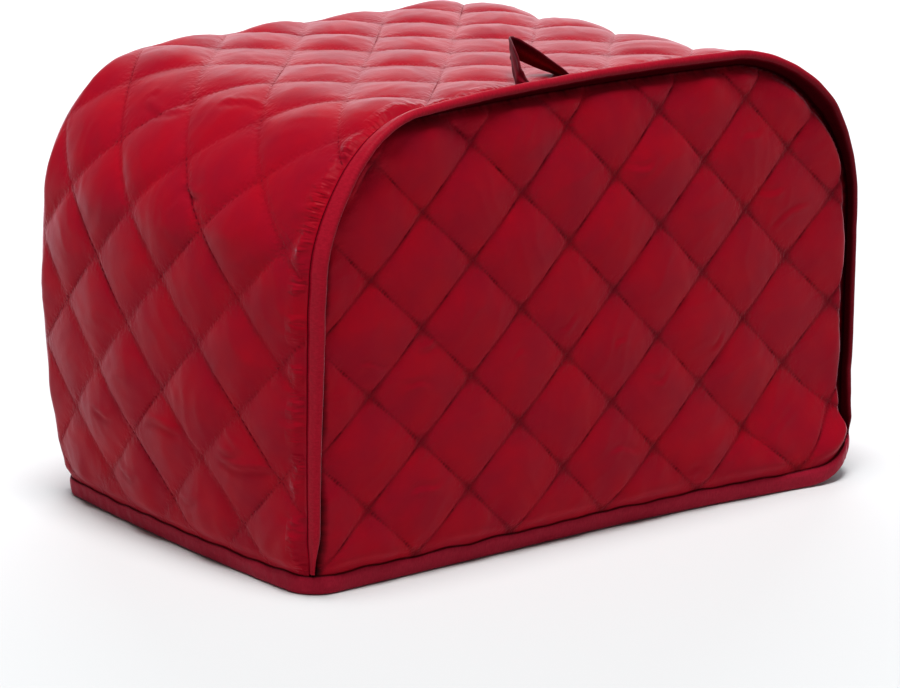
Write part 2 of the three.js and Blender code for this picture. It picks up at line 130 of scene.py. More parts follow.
def quilting(across, up, diamond, seed):
    """Loft of the wadding between the stitch lines, from 0 to about 1, and height of the creases, in mm."""
    diamonds_across = (across - diamond["across_start"]) / diamond["across"]
    diamonds_up = (up - diamond["up_start"]) / diamond["up"]
    a = diamonds_across + diamonds_up
    b = diamonds_across - diamonds_up
    line_gap = diamond["across"] * diamond["up"] / math.hypot(diamond["across"], diamond["up"])
    loft = np.abs(np.sin(math.pi * a) * np.sin(math.pi * b)) ** 0.5
    loft = loft * (1 + 0.2 * (2 * random_at(np.floor(a), np.floor(b), seed) - 1))
    crease = np.zeros_like(a)
    for k, (own, other) in enumerate(((a, b), (b, a))):
        line = np.round(own)
        gap = np.abs(own - line) * line_gap
        side = np.sign(own - line)
        along = other * line_gap
        pucker = ripples(along / PUCKER_LENGTH, line * 7.3 + side * 2.1 + gap / 16, seed + 3 + k)
        crease += PUCKER_DEPTH * pucker * np.minimum(gap / 2.0, 1) * np.exp(-gap / PUCKER_REACH)
    turn = 2 * math.pi * random_at(np.floor(a) + 5, np.floor(b) - 3, seed)
    lean = across * np.cos(turn) + up * np.sin(turn)
    run = up * np.cos(turn) - across * np.sin(turn)
    bent = 0.6 * ripples(across / 17, up / 17, seed + 8)
    fold = 1 - np.abs(ripples(lean / FOLD_WIDTH + bent, run / FOLD_LENGTH, seed + 9))
    dent = ripples(across / 15, up / 15, seed + 11)
    crease += loft * (FOLD_DEPTH * (fold**4 - 0.35) + DENT_DEPTH * dent)
    return loft, crease


def folds(across, up, creases):
    """Height of single creases, each one given by its two ends in flat mm and its depth: a fold with a
    hollow beside it."""
    height = np.zeros_like(across)
    for x0, z0, x1, z1, depth in creases:
        length = math.hypot(x1 - x0, z1 - z0)
        ahead = ((across - x0) * (x1 - x0) + (up - z0) * (z1 - z0)) / length
        aside = ((across - x0) * (z1 - z0) - (up - z0) * (x1 - x0)) / length
        aside = aside + 1.2 * np.sin(ahead / length * 5 + x0)
        ends = blend(ahead, -2, 4) * (1 - blend(ahead, length - 4, length + 2))
        fold = np.exp(-((aside - 1.7) / 1.3) ** 2)
        hollow = np.exp(-((aside + 0.6) / 1.2) ** 2)
        height += depth * ends * (fold - hollow)
    return height


# How far back the front and back seams stand, and how high the hem tape comes
FRONT_Y = -85.0
BACK_Y = 91.0
HEM_HEIGHT = 8.0
# Corners of the hem as seen from above: side, end, radius, and the height that the rounding reaches
HEM_CORNERS = ((-1, -1, 12, 26), (1, -1, 25, 44), (-1, 1, 9, 24), (1, 1, 12, 28))


def round_corners(x, y, z):
    """Rounds the cover's upright edges near the hem, where the hem tape goes round them."""
    for side, end, radius, reach in HEM_CORNERS:
        seam_y = FRONT_Y if end < 0 else BACK_Y
        out = side * x - (SEAM_HALF_WIDTH - radius)
        past = end * (y - seam_y) + radius
        near = (out > 0) & (past > 0)
        longest = np.hypot(np.maximum(out, 1e-9), np.maximum(past, 1e-9))
        share = (np.maximum(out, past) / longest - 1) * (1 - blend(z, HEM_HEIGHT + 2, reach))
        x = np.where(near, x + side * out * share, x)
        y = np.where(near, y + end * past * share, y)
    return x, y


# Half of the whole width and depth, and the height, that the draping is worked out for
HALF_WIDTH = 143
HALF_DEPTH = 91
FULL_HEIGHT = 184.2
# In mm: the walls swell out halfway up, most at the back, and bulge halfway back. The shoulders are filled
# out, the top is crowned (front, back) and sags halfway back, and the panels belly out (front, back)
WALL_SWELL = 11
WALL_BULGE = 9.8
SHOULDER_FILL = 3
CROWN = (5.4, 3.3)
TOP_SAG = 0.8
BELLY = (7.2, 7)
# The top leans to the right at the front, and the back is narrower and lower by these shares
TOP_LEAN = 1.5
BACK_NARROWER = 0.076
BACK_LOWER = 0.007
# The front right corner of the hem flares and curls up. The front seam is drawn in high on the left and let
# out on the right
CORNER_FLARE = 15.5
CORNER_CURL = 38
DRAWN_IN = 3.7
LET_OUT = 4.2
FRAME_SHIFT = np.array([0.1388, -2.9679, 0.0])


def drape(x, y, z):
    """Settles points of the straight arch the way that the filled cover stands, in metres in the frame."""
    x, y = round_corners(x, y, z)
    back = np.clip((y + HALF_DEPTH) / (2 * HALF_DEPTH), 0, 1)
    side = x / HALF_WIDTH
    high = z / FULL_HEIGHT
    height = np.clip(high, 0, 1)
    middle = np.clip(1 - side**2, 0, 1)
    between = 4 * back * (1 - back)
    wall = side**3 * (1 - 0.5 * height**6)
    swell = WALL_SWELL * np.sin(math.pi * height) * back
    bulge = WALL_BULGE * between * mix(0.35, 1, np.clip(z / 50, 0, 1))
    fill = SHOULDER_FILL * back * (side * high) ** 2
    crown = mix(*CROWN, back) * middle * high
    sag = TOP_SAG * between * height**4 * middle
    flare = CORNER_FLARE * (1 - blend(z, 2, 46)) * (1 - back) ** 2 * np.clip(side, 0, 1) ** 2
    at_front = (1 - back) ** 5
    drawn_in = DRAWN_IN * np.exp(-((z - 155) / 24) ** 2) * blend(-side, 0.6, 0.9) * at_front
    let_out = LET_OUT * blend(z, 12, 55) * (1 - blend(z, 122, 172)) * blend(side, 0.7, 0.95) * at_front
    curl = CORNER_CURL * np.clip((side - 0.72) / 0.28, 0, 1) ** 3 * at_front * (1 - blend(z, 0, 45))
    belly = middle * np.clip(1 - (2 * high - 1) ** 4, 0, 1)
    new_x = x * (1 - BACK_NARROWER * back) + TOP_LEAN * (1 - back) * high + wall * (swell + bulge)
    new_x = new_x + 0.7 * fill * np.sign(side) + 0.9 * flare + drawn_in + let_out
    new_z = z + crown - sag + 0.7 * fill - BACK_LOWER * back * z + curl
    new_y = y + belly * (BELLY[1] * back**2 - BELLY[0] * (1 - back) ** 2) - flare
    return 0.001 * (np.stack([new_x, new_y, new_z], axis=1) + FRAME_SHIFT)


# Distances to the right of the middle, and how many degrees the bound seam leans outwards there
FIN_LEANS = ((-138, -115, -95, -60, 0, 100, 122, 138), (1, 11, 20, 33, 39, 40, 43, 14))


def fin(out, across, x):
    """A point of the bound seam's section, as away from the arch and past the seam."""
    lean = np.radians(np.interp(x, *FIN_LEANS))
    away = out * np.sin(lean) + across * np.cos(lean)
    past = out * np.cos(lean) - across * np.sin(lean)
    return away, past


def turned_in(out, across):
    """The same for the plain seam at the back, whose edges point inwards at 45 degrees."""
    slant = math.sqrt(0.5)
    return -(out + across) * slant, (across - out) * slant


def hem_swell(z):
    """The gathered cloth swells just above the hem tape."""
    return blend(z, HEM_HEIGHT, HEM_HEIGHT + 4) * (1 - blend(z, HEM_HEIGHT + 8, HEM_HEIGHT + 26))


# The bound seam comes up to most of its height at this height on the left
FIN_TAPER_TOP = 27.0


def fin_taper(x, z):
    """How tall the bound seam stands, as a share: it is pressed low near the hem and up the right side."""
    left = mix(0.3, 0.72, blend(z, HEM_HEIGHT, FIN_TAPER_TOP)) + 0.28 * blend(z, 40, 115)
    right = mix(0.58, 1, blend(z, 118, 168)) * mix(0.45, 1, blend(z, HEM_HEIGHT - 1, HEM_HEIGHT + 9))
    return np.where(x < 0, left, right)


# Cloth beyond a seam line, and the height at which the hem tape no longer holds the cloth
ALLOWANCE = 6.3
HEM_ZONE_TOP = 14.0


def into_seam(t, height, x, z, lining, end, is_panel):
    """Section of a quilted piece as it turns into a seam, as away from the arch and past the seam. t is how
    far past the seam the flat cloth is, and height how far it stands off."""
    plane = (t, height) if is_panel else (height, t)
    ahead = np.maximum(t, -3)
    if end < 0:
        across = np.where(lining, 0.1, 0.8) * (-1 if is_panel else 1)
        taper = fin_taper(x, z)
        seam = fin(ahead * taper, across * mix(0.6, 1, taper), x)
    else:
        seam = turned_in(ahead, np.where(lining, 1.15, 0.15))
        seam = seam if is_panel else (seam[1], seam[0])
    hem = (-0.9 + 0.6 * ahead / ALLOWANCE, np.where(lining, -0.55, 0.5))
    hem = (np.where(lining, hem[0] - 0.7, hem[0]), hem[1])
    hem = hem if is_panel else (hem[1], hem[0])
    share = blend(z, HEM_HEIGHT, HEM_ZONE_TOP)
    turned = blend(t, -2.6, 0.9)
    return [mix(plane[k], mix(hem[k], seam[k], share), turned) for k in (0, 1)]


# Heights in mm: the outer and the inner cloth, the pillows low down and high up, the pillows on the inside,
# the groove beside the bound seam, and the swelling above the hem
CLOTH_OUT = 0.6
CLOTH_IN = 0.65
PUFF_OUT = (2.4, 3.1)
PUFF_IN = 1.1
GROOVE = 2.2
HEM_BULGE = 0.9
# The pillows fade out this near to a seam and to the hem
EDGE_FADE = 4.5
HEM_FADE = 6.0
# Single creases that the photo shows on the front: both ends in flat mm, and the depth
PANEL_CREASES = (
    (-119, 89, -104, 87, 0.4), (-96, 79, -85, 75, 0.4), (-91, 92, -80, 90, -0.3), (-45, 81, -38, 81, 0.3),
    (-22, 87, -12, 91, 0.4), (-94, 34, -80, 37, 0.4), (14, 144, 26, 147, 0.4), (76, 149, 86, 153, 0.4),
    (84, 128, 100, 126, 0.4), (93, 112, 114, 120, 0.4), (59, 66, 68, 72, 0.4), (6, 75, 12, 80, 0.35),
    (27, 58, 36, 60, 0.35), (50, 18, 60, 16, 0.4), (6, 34, 23, 32, 0.4))


def panel_points(across, up, lining, lift, end, seed):
    """Places points of a flat panel; end is -1 for the front one and 1 for the back one."""
    inside, along = nearest_on_arch(across, up)
    arch_x, arch_z, nx, nz = arch_at(along)
    loft, crease = quilting(across, up, PANEL_DIAMOND, seed)
    if end < 0:
        crease = crease + folds(across, up, PANEL_CREASES)
    fade = blend(inside, 0, EDGE_FADE) * blend(up, HEM_HEIGHT + 0.6, HEM_HEIGHT + HEM_FADE)
    puff = mix(*PUFF_OUT, blend(up, 60, 155))
    swell = HEM_BULGE * hem_swell(up) * (1 + 0.7 * ripples(across / 11, up / 20, seed + 41))
    out = CLOTH_OUT + fade * (puff * loft + crease) + lift + swell
    height = np.where(lining, -CLOTH_IN - fade * PUFF_IN * loft, out)
    gathers = 0.6 * ripples(along / 5.5, inside / 30, seed + 21) * np.exp(-np.maximum(inside, 0) / 8)
    gathers += 1.1 * ripples(along / 13, inside / 20, seed + 23) * np.exp(-((inside - 7) / 5) ** 2)
    gathers *= blend(inside, 0.5, 4) * blend(up, HEM_ZONE_TOP, HEM_ZONE_TOP + 8)
    height = height + np.where(lining, 0, gathers)
    if end < 0:
        groove = GROOVE * np.exp(-((inside - 2.2) / 1.9) ** 2)
        height = height - groove * blend(up, HEM_HEIGHT, HEM_HEIGHT + 5)
    away, past = into_seam(-inside, height, arch_x, arch_z, lining, end, True)
    in_plane = inside > 3
    x = np.where(in_plane, across, arch_x + away * nx)
    z = np.where(in_plane, up, arch_z + away * nz)
    past = np.where(in_plane, height, past)
    y = (FRONT_Y if end < 0 else BACK_Y) + end * past
    return drape(x, y, z)


def flat_cloth(name, low, high, step, trim=None):
    """A flat piece of cloth with a lining side one unit under it, cut to trim if that is given."""
    bm = bmesh.new()
    counts = [max(2, round((high[k] - low[k]) / step)) for k in (0, 1)]
    bmesh.ops.create_grid(bm, x_segments=counts[0], y_segments=counts[1], size=0.5)
    size = (high[0] - low[0], high[1] - low[1], 1)
    bmesh.ops.scale(bm, vec=size, verts=bm.verts)
    middle = ((high[0] + low[0]) / 2, (high[1] + low[1]) / 2, 0)
    bmesh.ops.translate(bm, vec=middle, verts=bm.verts)
    if trim:
        trim(bm)
    bmesh.ops.solidify(bm, geom=bm.faces[:], thickness=1)
    bmesh.ops.recalc_face_normals(bm, faces=bm.faces[:])
    mesh = bpy.data.meshes.new(name)
    bm.to_mesh(mesh)
    bm.free()
    return mesh


def points_of(mesh):
    """A mesh's vertices, one to a row."""
    flat = np.zeros(len(mesh.vertices) * 3)
    mesh.vertices.foreach_get("co", flat)
    return flat.reshape(-1, 3)


def is_lining(flat):
    """Which points of a flat cloth belong to its lining side."""
    return np.abs(flat[:, 2]) > 0.5


def shape(mesh, points, flat, **shares):
    """Moves a flat piece's vertices to their places. Its flat sizes in mm stay as its UV map, and the shares,
    one value a vertex, as attributes."""
    for name, share in shares.items():
        mesh.attributes.new(name, "FLOAT", "POINT").data.foreach_set("value", share)
    mesh.vertices.foreach_set("co", points.ravel())
    layer = mesh.uv_layers.new(name="flat_mm")
    corner = np.zeros(len(mesh.loops), dtype=int)
    mesh.loops.foreach_get("vertex_index", corner)
    layer.data.foreach_set("uv", flat[corner][:, :2].ravel())
    mesh.shade_smooth()
    mesh.update()
    corners = np.array([p.vertices[:3] for p in mesh.polygons])
    a, b, c = (points[corners[:, k]] for k in range(3))
    if (a * np.cross(b, c)).sum() < 0:
        mesh.flip_normals()
    piece = bpy.data.objects.new(mesh.name, mesh)
    bpy.context.scene.collection.objects.link(piece)
    return piece


# The cloth ends this high above the floor, inside the hem tape
CLOTH_BOTTOM = 1.4


def cut_to_arch(bm):
    """Cuts the cloth along the arch, with its seam allowance."""
    flat = np.array([v.co[:] for v in bm.verts])
    inside, along = nearest_on_arch(flat[:, 0], flat[:, 1])
    beyond = inside + ALLOWANCE
    arch_x, arch_z, nx, nz = arch_at(along)
    kept = {v: beyond[k] > -1e-6 for k, v in enumerate(bm.verts)}
    waste = [f for f in bm.faces if not any(kept[v] for v in f.verts)]
    for k, v in enumerate(bm.verts):
        if not kept[v]:
            v.co.x = arch_x[k] + ALLOWANCE * nx[k]
            v.co.y = max(arch_z[k] + ALLOWANCE * nz[k], CLOTH_BOTTOM)
    bmesh.ops.delete(bm, geom=waste, context="FACES")


def hex_colour(code):
    """Linear colour of an sRGB hex value."""
    channels = [int(code[k : k + 2], 16) / 255 for k in (1, 3, 5)]
    linear = [c / 12.92 if c <= 0.04045 else ((c + 0.055) / 1.055) ** 2.4 for c in channels]
    return (*linear, 1)


def add_node(tree, kind, settings=None, inputs=None):
    """Adds a node: settings are its own, and inputs are values or the outputs that they are linked to."""
    node = tree.nodes.new("ShaderNode" + kind)
    for name, value in (settings or {}).items():
        setattr(node, name, value)
    for name, value in (inputs or {}).items():
        if isinstance(value, bpy.types.NodeSocket):
            tree.links.new(value, node.inputs[name])
        else:
            node.inputs[name].default_value = value
    return node


def bare_material(name):
    """A material with no nodes yet, its tree, and the flat place in mm on the piece that wears it."""
    material = bpy.data.materials.new(name)
    material.use_nodes = True
    tree = material.node_tree
    tree.nodes.clear()
    return material, tree, add_node(tree, "UVMap", {"uv_map": "flat_mm"}).outputs["UV"]


def quilted_satin(name, sheen):
    # Polyester satin, woven and calendered: a soft sheen, lightest where the cloth turns away
    material, tree, flat = bare_material(name)
    # Threads are 0.1 mm; these streaks are 0.5 mm by 3 mm, so that they can show
    streaks = add_node(tree, "Mapping", inputs={"Vector": flat, "Scale": (0.33, 2.0, 1)})
    weave = add_node(tree, "TexNoise", {"noise_dimensions": "2D"}, {
        "Vector": streaks.outputs["Vector"], "Scale": 1, "Detail": 3, "Roughness": 0.6})
    # Small creases of the thin cloth, about 3 mm apart
    crinkle = add_node(tree, "TexNoise", {"noise_dimensions": "2D"}, {
        "Vector": flat, "Scale": 0.3, "Detail": 3, "Roughness": 0.55, "Distortion": 0.8})
    bump = add_node(tree, "Bump", inputs={
        "Height": crinkle.outputs["Fac"], "Distance": 0.0004, "Strength": 0.12})
    bump = add_node(tree, "Bump", inputs={
        "Height": weave.outputs["Fac"], "Distance": 0.00006, "Strength": 0.15,
        "Normal": bump.outputs["Normal"]})
    # Puckers of the cloth beside the stitching, 2 mm apart
    loft = add_node(tree, "Attribute", {"attribute_name": "loft"}).outputs["Fac"]
    near_line = add_node(tree, "MapRange", inputs={"Value": loft, "From Max": 0.6, "To Min": 1, "To Max": 0})
    puckers = add_node(tree, "TexNoise", {"noise_dimensions": "2D"}, {
        "Vector": flat, "Scale": 0.5, "Detail": 2, "Roughness": 0.5})
    puckers = add_node(tree, "Math", {"operation": "MULTIPLY"}, {
        0: puckers.outputs["Fac"], 1: near_line.outputs["Result"]})
    bump = add_node(tree, "Bump", inputs={
        "Height": puckers.outputs["Value"], "Distance": 0.0009, "Strength": 0.6,
        "Normal": bump.outputs["Normal"]})
    # Gathers across the bound seam, 2 mm apart and up to 12 mm long, strongest in bunches
    inside = add_node(tree, "Attribute", {"attribute_name": "inside"}).outputs["Fac"]
    along = add_node(tree, "Attribute", {"attribute_name": "along"}).outputs["Fac"]
    gathered = add_node(tree, "Attribute", {"attribute_name": "gathered"}).outputs["Fac"]
    place = add_node(tree, "CombineXYZ", inputs={"X": along, "Y": inside})
    place = add_node(tree, "Mapping", inputs={"Vector": place.outputs["Vector"], "Scale": (0.45, 0.12, 1)})
    gathers = add_node(tree, "TexNoise", {"noise_dimensions": "2D"}, {
        "Vector": place.outputs["Vector"], "Scale": 1, "Detail": 1.5, "Distortion": 0.3})
    reach = add_node(tree, "Math", {"operation": "MULTIPLY"}, {0: inside, 1: 0.05})
    zone = add_node(tree, "ValToRGB", inputs={"Fac": reach.outputs["Value"]})
    zone.color_ramp.elements[0].position = 0.08
    zone.color_ramp.elements[0].color = (0.2, 0.2, 0.2, 1)
    zone.color_ramp.elements[1].position = 0.6
    zone.color_ramp.elements[1].color = (0, 0, 0, 1)
    for position, share in ((0.2, 0.3), (0.34, 1), (0.46, 0.8)):
        zone.color_ramp.elements.new(position).color = (share, share, share, 1)
    bunch = add_node(tree, "Mapping", inputs={"Vector": place.outputs["Vector"], "Scale": (0.22, 0.8, 1)})
    bunch = add_node(tree, "TexNoise", {"noise_dimensions": "2D"}, {
        "Vector": bunch.outputs["Vector"], "Scale": 1})
    bunch = add_node(tree, "MapRange", inputs={
        "Value": bunch.outputs["Fac"], "From Min": 0.38, "From Max": 0.62, "To Min": 0.1, "To Max": 1.5})
    zone = add_node(tree, "Math", {"operation": "MULTIPLY"}, {
        0: zone.outputs["Color"], 1: bunch.outputs["Result"]})
    zone = add_node(tree, "Math", {"operation": "MULTIPLY"}, {0: zone.outputs["Value"], 1: gathered})
    ribs = add_node(tree, "Math", {"operation": "MULTIPLY"}, {
        0: gathers.outputs["Fac"], 1: zone.outputs["Value"]})
    bump = add_node(tree, "Bump", inputs={
        "Height": ribs.outputs["Value"], "Distance": 0.0014, "Strength": 0.8,
        "Normal": bump.outputs["Normal"]})
    # Two reds that change over into each other every 20 mm or so
    patches = add_node(tree, "TexNoise", {"noise_dimensions": "2D"}, {
        "Vector": flat, "Scale": 0.05, "Detail": 3, "Roughness": 0.6})
    dye = add_node(tree, "ValToRGB", inputs={"Fac": patches.outputs["Fac"]})
    dye.color_ramp.elements[0].position = 0.3
    dye.color_ramp.elements[0].color = hex_colour("#950b21")
    dye.color_ramp.elements[1].position = 0.72
    dye.color_ramp.elements[1].color = hex_colour("#a3091d")
    # Painted shade along the stitching, where the cloth is pinched into the valleys, least where it is
    # gathered
    stitch_shade_floor = add_node(tree, "MapRange", inputs={"Value": gathered, "To Min": 0.38, "To Max": 0.8})
    painted_stitch_shade = add_node(tree, "MapRange", inputs={
        "Value": loft, "From Max": 0.26, "To Min": stitch_shade_floor.outputs["Result"]})
    # Painted shade where it turns down into the bound seam, with a ragged edge to the shade
    ragged = add_node(tree, "Math", {"operation": "MULTIPLY_ADD"}, {
        0: gathers.outputs["Fac"], 1: 1.2, 2: inside})
    ragged = add_node(tree, "Math", {"operation": "SUBTRACT"}, {0: ragged.outputs["Value"], 1: 0.6})
    depth = add_node(tree, "MapRange", {"interpolation_type": "SMOOTHSTEP"}, {
        "Value": ragged.outputs["Value"], "From Min": 1, "From Max": 4.2, "To Min": 0.05})
    # Both painted shades, along the stitching and into the bound seam, scale the dye
    both = add_node(tree, "Math", {"operation": "MULTIPLY"}, {
        0: painted_stitch_shade.outputs["Result"], 1: depth.outputs["Result"]})
    shade = add_node(tree, "VectorMath", {"operation": "SCALE"}, {
        "Vector": dye.outputs["Color"], "Scale": both.outputs["Value"]})
    gloss = add_node(tree, "MapRange", inputs={
        "Value": crinkle.outputs["Fac"], "To Min": 0.36, "To Max": 0.5})
    surface = add_node(tree, "BsdfPrincipled", inputs={
        "Base Color": shade.outputs["Vector"], "Roughness": gloss.outputs["Result"], "IOR": 1.5,
        "Specular IOR Level": min(0.03, sheen), "Sheen Weight": sheen, "Sheen Roughness": 0.3,
        "Sheen Tint": hex_colour("#ffc0d0"), "Normal": bump.outputs["Normal"]})
    add_node(tree, "OutputMaterial", inputs={"Surface": surface.outputs["BSDF"]})
    return material


# Painted shade: the turned-in edges wear a copy of the satin without sheen, as in the seams' shadow
satins = [quilted_satin("polyester_satin_woven", 0.45), quilted_satin("polyester_satin_shaded_copy", 0.0)]


def cover(piece, materials, turned_in):
    """Gives a piece its material, and its turned-in places the second one, a copy without sheen for painted
    shade.
    """
    for material in materials:
        piece.data.materials.append(material)
    first = np.array([p.vertices[0] for p in piece.data.polygons])
    piece.data.polygons.foreach_set("material_index", turned_in[first].astype(np.int32))


# Stitches are drawn 2.3 mm long every 3 mm, of thread 0.44 mm thick, and start this far from a seam
STITCH_PITCH = 3.0
STITCH_LENGTH = 2.3
THREAD_RADIUS = 0.22
STITCH_START = 3


def sew(name, lines, points_at):
    """Stitches along flat lines, each line given by its two ends in mm; points_at places flat points."""
    one = bmesh.new()
    bmesh.ops.create_icosphere(one, subdivisions=1, radius=1)
    bmesh.ops.scale(one, vec=(STITCH_LENGTH / 2, THREAD_RADIUS, THREAD_RADIUS), verts=one.verts)
    stitch = bpy.data.meshes.new("one_stitch")
    one.to_mesh(stitch)
    one.free()
    places = []
    for (x0, z0), (x1, z1) in lines:
        length = math.hypot(x1 - x0, z1 - z0)
        shares = (np.arange(int(length / STITCH_PITCH)) + 0.5) * STITCH_PITCH / length
        places += [(mix(x0, x1, t), mix(z0, z1, t), (x1 - x0) / length, (z1 - z0) / length) for t in shares]
    bm = bmesh.new()
    for _ in places:
        bm.from_mesh(stitch)
    mesh = bpy.data.meshes.new(name)
    bm.to_mesh(mesh)
    bm.free()
    bpy.data.meshes.remove(stitch)
    flat = points_of(mesh)
    x, z, ahead_x, ahead_z = np.repeat(np.array(places), len(flat) // len(places), axis=0).T
    u, w = flat[:, 0].copy(), flat[:, 1].copy()
    flat[:, 0] = x + u * ahead_x - w * ahead_z
    flat[:, 1] = z + u * ahead_z + w * ahead_x
    return shape(mesh, points_at(flat), flat)


# Lines of stitching are followed in steps of this many mm, and ones shorter than this are left out
LINE_STEP = 0.25
SHORTEST_LINE = 3


def stitch_lines(diamond, low, high, inside_at=None):
    """The quilting's lines between low and high on a flat piece, cut to where inside_at is true if given."""
    lines = []
    (x0, z0), (x1, z1) = low, high
    slope = diamond["up"] / diamond["across"]
    reach = (x1 - x0) / diamond["across"] + (z1 - z0) / diamond["up"] + 4
    for sign in (-1, 1):
        for k in range(-int(reach), int(reach)):
            xs = np.arange(x0, x1, LINE_STEP)
            zs = diamond["up_start"] + sign * (k * diamond["up"] - slope * (xs - diamond["across_start"]))
            on = (zs > z0) & (zs < z1)
            if inside_at:
                on &= inside_at(xs, zs)
            if on.sum() * LINE_STEP > SHORTEST_LINE:
                first, last = np.flatnonzero(on)[[0, -1]]
                lines.append(((xs[first], zs[first]), (xs[last], zs[last])))
    return lines


# Spun polyester thread, dyed with the cloth and darker in its seam
thread = bpy.data.materials.new("polyester_thread_spun")
thread.use_nodes = True
thread_surface = thread.node_tree.nodes["Principled BSDF"]
thread_surface.inputs["Base Color"].default_value = hex_colour("#7a081c")
thread_surface.inputs["Roughness"].default_value = 0.7
thread_surface.inputs["Specular IOR Level"].default_value = 0.05

# Cloth nearer to the seam than this is turned in, and wears the copy without sheen as painted shade
PANEL_SHADED_REACH = 2.3


def make_panel(name, end, step, seed):
    """A panel and its stitching; step is the size of the cloth's mesh in mm."""
    low = (-SEAM_HALF_WIDTH - ALLOWANCE, CLOTH_BOTTOM)
    high = (SEAM_HALF_WIDTH + ALLOWANCE, SEAM_HEIGHT + ALLOWANCE)
    mesh = flat_cloth(name + "_cloth", low, high, step, cut_to_arch)
    flat = points_of(mesh)
    lining = is_lining(flat)
    points = panel_points(flat[:, 0], flat[:, 1], lining, 0, end, seed)
    loft = quilting(flat[:, 0], flat[:, 1], PANEL_DIAMOND, seed)[0]
    inside, along = nearest_on_arch(flat[:, 0], flat[:, 1])
    # The plain back seam is neither as deep nor as gathered as the bound one; its painted shade reaches less
    # far
    # The bound seam's painted shade reaches furthest on the left
    front = end < 0
    depth = inside * mix(1, 0.5, blend(-flat[:, 0], 118, 136)) if front else inside + 2.5
    panel = shape(mesh, points, flat, loft=loft, inside=depth, along=along,
                  gathered=np.full(len(flat), 0.1 if front else 0.5))
    cover(panel, satins, inside < PANEL_SHADED_REACH)
    lines = stitch_lines(PANEL_DIAMOND, low, high,
                         lambda x, z: (nearest_on_arch(x, z)[0] > STITCH_START) & (z > HEM_HEIGHT + 2))
    sewing = sew(name + "_quilting", lines,
                 lambda p: panel_points(p[:, 0], p[:, 1], np.zeros(len(p), bool), p[:, 2], end, seed))
    sewing.data.materials.append(thread)
    for piece in (panel, sewing):
        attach(piece, "root")
    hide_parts(name)


make_panel("front_panel", end=-1, step=1.15, seed=4)

# Back panel: quilted polyester satin cut to the same pattern as the front one. It is joined to the gusset by
# a plain seam, without tape, whose edges are turned inwards.
make_panel("back_panel", end=1, step=1.7, seed=31)

# Gusset: one strip of the same quilted satin that runs up the left side, over the top and down the right. Its
# front edge is gathered a little and turned into the bound seam, its back edge is turned into the plain one.
GUSSET_DIAMOND = dict(across=46.0, up=45.4, across_start=66.8, up_start=135.0)
GUSSET_CREASES = (
    (43, 171, 18, 172, 0.6), (46, 174, 38, 178, 0.35), (1, 182, -20, 184, 0.6), (-8, 146, -23, 147, 0.6),
    (-8, 138, -10, 145, -0.35), (9, 51, -14, 52, 0.5), (48, 46, 34, 48, 0.5), (36, 24, 20, 25, 0.5),
    (-38, 46, -68, 46, 0.6), (-38, 50, -54, 51, 0.4), (-40, 56, -51, 54, 0.3), (-7, 23, -24, 25, 0.4))
# Height of the pillows low down and high up
GUSSET_PUFF = (2.3, 3.1)
GUSSET_SEED = 57
GUSSET_STEP = 1.5
BACK_ALLOWANCE = 5.5
# The gusset's cloth nearer to a seam than this wears the copy without sheen as painted shade
GUSSET_SHADED_REACH = 1.2


def gusset_points(y, along, lining, lift):
    """Places points of the flat strip, given by how far back and how far along it they are."""
    x, z, nx, nz = arch_at(along)
    loft, crease = quilting(y, along, GUSSET_DIAMOND, GUSSET_SEED)
    crease = crease + folds(y, along, GUSSET_CREASES)
    to_front = y - FRONT_Y
    to_back = BACK_Y - y
    to_seam = np.minimum(to_front, to_back)
    fade = blend(to_seam, 0, EDGE_FADE) * blend(z, HEM_HEIGHT + 0.6, HEM_HEIGHT + HEM_FADE)
    puff = mix(*GUSSET_PUFF, blend(z, 90, 165))
    swell = HEM_BULGE * hem_swell(z) * (1 + 0.7 * ripples(y / 11, z / 20, GUSSET_SEED + 41))
    out = CLOTH_OUT + fade * (puff * loft + crease) + lift + swell
    fine = 0.55 * ripples(along / 3.6, to_front / 9, GUSSET_SEED + 21)
    broad = 0.5 * ripples(along / 7, to_front / 30, GUSSET_SEED + 22)
    gathers = fine * np.exp(-((to_front - 8) / 3.5) ** 2)
    gathers += broad * np.exp(-np.maximum(to_front, 0) / 14)
    gathers *= blend(to_front, 0.5, 4) * blend(z, HEM_ZONE_TOP, HEM_ZONE_TOP + 12)
    gathers -= 1.2 * np.exp(-((to_front - 2) / 1.5) ** 2) * blend(z, HEM_HEIGHT, HEM_HEIGHT + 5)
    height = np.where(lining, -CLOTH_IN - fade * PUFF_IN * loft, out + gathers)
    front = into_seam(-to_front, height, x, z, lining, -1, False)
    back = into_seam(-to_back, height, x, z, lining, 1, False)
    nearer_front = to_front < to_back
    away = np.where(nearer_front, front[0], back[0])
    y = np.where(nearer_front, FRONT_Y - front[1], BACK_Y + back[1])
    away = np.where(to_seam < 3, away, height)
    return drape(x + away * nx, y, z + away * nz)


mesh = flat_cloth("gusset_cloth", (FRONT_Y - ALLOWANCE, CLOTH_BOTTOM),
                  (BACK_Y + BACK_ALLOWANCE, ARCH_LENGTH - CLOTH_BOTTOM), GUSSET_STEP)
flat = points_of(mesh)
to_front = flat[:, 0] - FRONT_Y
to_back = BACK_Y - flat[:, 0]
loft = quilting(flat[:, 0], flat[:, 1], GUSSET_DIAMOND, GUSSET_SEED)[0]
